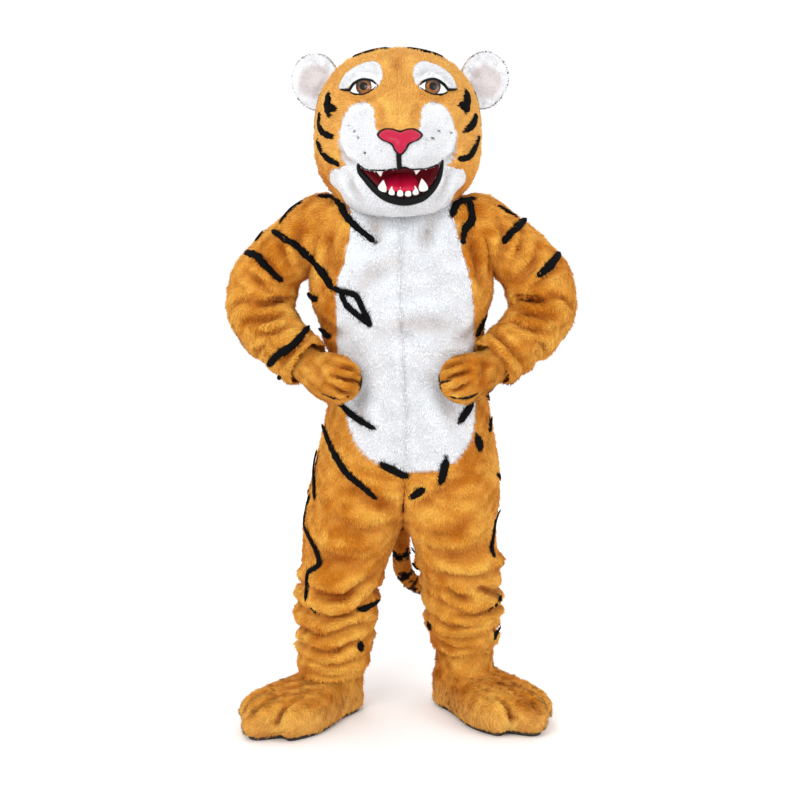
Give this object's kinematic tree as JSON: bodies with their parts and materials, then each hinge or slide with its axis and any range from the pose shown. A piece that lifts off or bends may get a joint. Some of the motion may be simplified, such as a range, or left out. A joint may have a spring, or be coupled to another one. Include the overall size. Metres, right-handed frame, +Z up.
{
  "type": "tiger mascot costume",
  "caption": "Full tiger mascot costume: hollow pile-fabric body suit with tail, mitten paws, boot feet and an open-mouthed head, held in a hands-on-hips stance.",
  "frame": {"origin": "middle of the shoulder line, where the wearer carries the costume; the soles lie 1.42 m below", "axes": "+Z up, the costume faces -Y, +X towards the wearer's left"},
  "size_m": [0.9565, 0.565, 1.854],
  "materials": {
    "orange_fur": "long plush pile fabric, matt, with brushed highlights",
    "white_fur": "long plush pile fabric, matt, cool white",
    "black_trim": "short black plush and felt",
    "sole_rubber": "dark moulded tread sheet, matt",
    "nose_vinyl": "padded satin leatherette",
    "tongue_cloth": "padded satin cloth, soft sheen",
    "mouth_cloth": "smooth dark lining cloth",
    "teeth": "moulded, semi-gloss",
    "eye_white": "moulded, glossy",
    "iris": "moulded, glossy, painted rings"
  },
  "bodies": {
    "root": {"belly_left": "white_fur", "front_left": "orange_fur", "back_left": "orange_fur", "sleeve_left": "orange_fur", "paw_left": "orange_fur", "palm_left": "black_trim", "foot_left": "orange_fur", "sole_left": "sole_rubber", "belly_right": "white_fur", "front_right": "orange_fur", "back_right": "orange_fur", "sleeve_right": "orange_fur", "paw_right": "orange_fur", "palm_right": "black_trim", "foot_right": "orange_fur", "sole_right": "sole_rubber", "tail": "orange_fur", "brow_left": "white_fur", "brow_right": "white_fur", "muzzle_left": "white_fur", "muzzle_right": "white_fur", "jaw": "white_fur", "head_left": "orange_fur", "head_right": "orange_fur", "nose_edge": "black_trim", "nose": "nose_vinyl", "lip": "black_trim", "mouth_lining": "mouth_cloth", "tongue": "tongue_cloth", "canine_upper_left": "teeth", "canine_lower_left": "teeth", "incisor_outer_left": "teeth", "incisor_inner_left": "teeth", "lid_left": "black_trim", "eye_left": "eye_white", "iris_left": "iris", "pupil_left": "black_trim", "ear_left": "white_fur", "ear_back_left": "orange_fur", "canine_upper_right": "teeth", "canine_lower_right": "teeth", "incisor_outer_right": "teeth", "incisor_inner_right": "teeth", "lid_right": "black_trim", "eye_right": "eye_white", "iris_right": "iris", "pupil_right": "black_trim", "ear_right": "white_fur", "ear_back_right": "orange_fur"}
  },
  "joints": []
}
